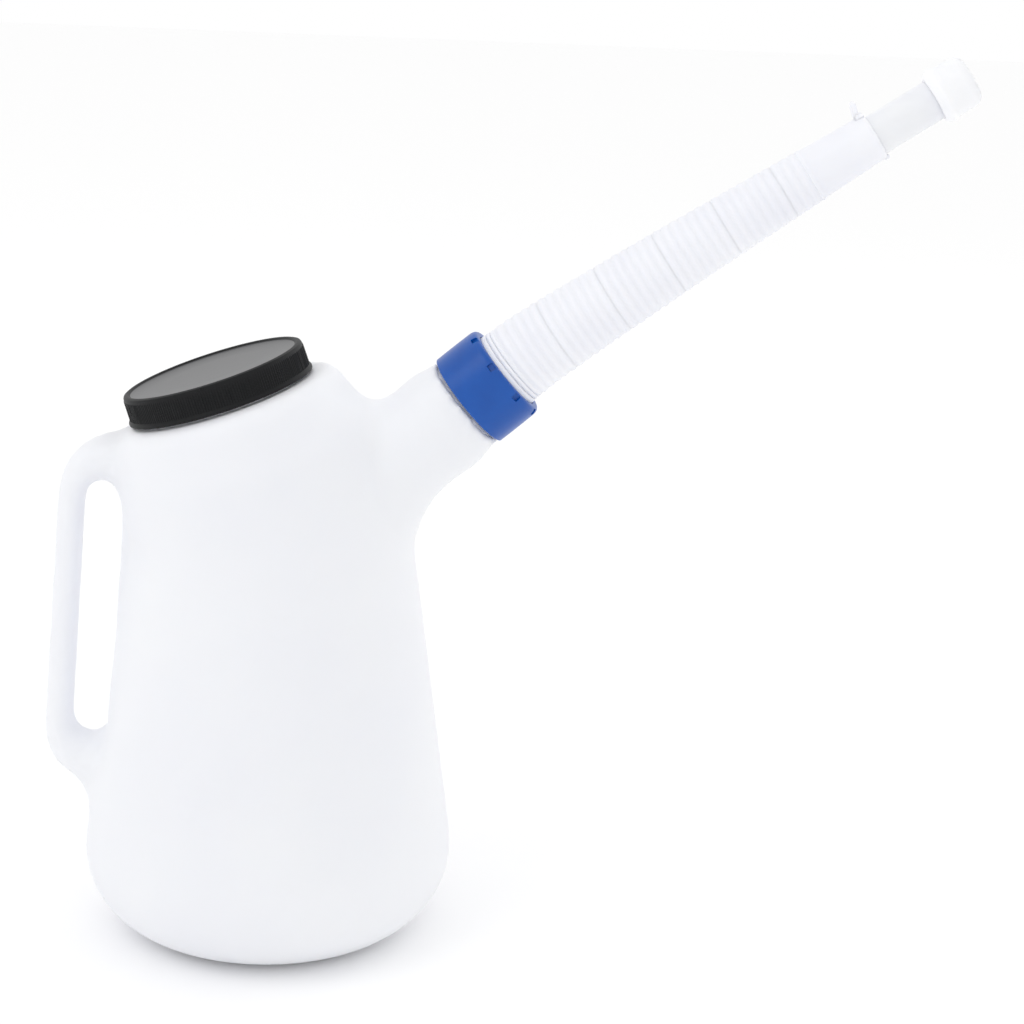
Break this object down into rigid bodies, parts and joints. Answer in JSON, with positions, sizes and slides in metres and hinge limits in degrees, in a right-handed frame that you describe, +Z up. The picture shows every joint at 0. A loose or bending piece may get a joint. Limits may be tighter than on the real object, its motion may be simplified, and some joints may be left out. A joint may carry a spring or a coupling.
{
  "type": "fluid transfer jug",
  "caption": "Translucent plastic jug with moulded handle, black screw lid, and flexible corrugated pouring spout held by a blue collar nut.",
  "frame": {"origin": "centre of the jug's base, on the ground it stands on", "axes": "+Z up, +X towards the spout, -X towards the handle, +Y to complete a right-handed set"},
  "size_m": [0.4465, 0.186, 0.4505],
  "materials": {
    "blown_polyethylene": "satin, slightly translucent",
    "black_plastic": "satin, fine moulded texture",
    "foam_liner": "matte closed-cell foam",
    "blue_plastic": "moulded, low gloss",
    "gasket_rubber": "matte",
    "flexible_polyethylene": "smooth, translucent",
    "nozzle_plastic": "smooth, translucent"
  },
  "bodies": {
    "jug": {"jug_body": "blown_polyethylene", "jug_shoulder": "blown_polyethylene", "spout_root": "blown_polyethylene", "handle": "blown_polyethylene", "filler_neck": "blown_polyethylene", "spout_neck": "blown_polyethylene"},
    "liner": {"lid_liner": "foam_liner"},
    "lid": {"lid": "black_plastic"},
    "gasket": {"spout_gasket": "gasket_rubber"},
    "collar": {"spout_collar": "blue_plastic"},
    "spout": {"hose_root": "flexible_polyethylene"},
    "link_1": {"hose_link_1": "flexible_polyethylene"},
    "link_2": {"hose_link_2": "flexible_polyethylene"},
    "link_3": {"hose_link_3": "flexible_polyethylene"},
    "link_4": {"hose_link_4": "flexible_polyethylene"},
    "link_5": {"hose_link_5": "flexible_polyethylene", "hose_cuff": "flexible_polyethylene", "nozzle": "nozzle_plastic"},
    "cap": {"nozzle_cap": "nozzle_plastic"}
  },
  "joints": [
    {"name": "lid_lift", "type": "slide", "parent": "jug", "child": "liner", "axis": [-0.3231, 0, 0.9464], "range_m": [0, 0.0101]},
    {"name": "lid_turn", "type": "hinge", "parent": "liner", "child": "lid", "pos_m": [-0.0262, 0, 0.2741], "axis": [-0.3231, 0, 0.9464], "range_deg": [0, 720]},
    {"name": "spout_lift", "type": "slide", "parent": "jug", "child": "gasket", "axis": [0.7536, 0, 0.6574], "range_m": [0, 0.0151]},
    {"name": "collar_turn", "type": "hinge", "parent": "gasket", "child": "collar", "pos_m": [0.0947, 0, 0.2763], "axis": [0.7536, 0, 0.6574], "range_deg": [0, 1080]},
    {"name": "spout_swivel", "type": "hinge", "parent": "gasket", "child": "spout", "pos_m": [0.0947, 0, 0.2763], "axis": [0.7536, 0, 0.6574], "range_deg": [-180, 180]},
    {"name": "hose_bend_1", "type": "hinge", "parent": "spout", "child": "link_1", "pos_m": [0.12349, 0, 0.30141], "axis": [0, 1, 0], "range_deg": [-18, 18]},
    {"name": "hose_bend_2", "type": "hinge", "parent": "link_1", "child": "link_2", "pos_m": [0.14937, 0, 0.32022], "axis": [0, 1, 0], "range_deg": [-18, 18]},
    {"name": "hose_bend_3", "type": "hinge", "parent": "link_2", "child": "link_3", "pos_m": [0.17552, 0, 0.33867], "axis": [0, 1, 0], "range_deg": [-18, 18]},
    {"name": "hose_bend_4", "type": "hinge", "parent": "link_3", "child": "link_4", "pos_m": [0.2018, 0, 0.35693], "axis": [0, 1, 0], "range_deg": [-18, 18]},
    {"name": "hose_bend_5", "type": "hinge", "parent": "link_4", "child": "link_5", "pos_m": [0.2282, 0, 0.37501], "axis": [0, 1, 0], "range_deg": [-18, 18]},
    {"name": "cap_pull", "type": "slide", "parent": "link_5", "child": "cap", "axis": [0.8271, 0, 0.5621], "range_m": [0, 0.03]}
  ],
  "couplings": [
    {"joint": "lid_lift", "follows": "lid_turn", "m_per_rad": 0.00079577},
    {"joint": "spout_lift", "follows": "collar_turn", "m_per_rad": 0.00079577},
    {"joint": "hose_bend_2", "follows": "hose_bend_1", "ratio": 1},
    {"joint": "hose_bend_3", "follows": "hose_bend_1", "ratio": 1},
    {"joint": "hose_bend_4", "follows": "hose_bend_1", "ratio": 1},
    {"joint": "hose_bend_5", "follows": "hose_bend_1", "ratio": 1}
  ]
}
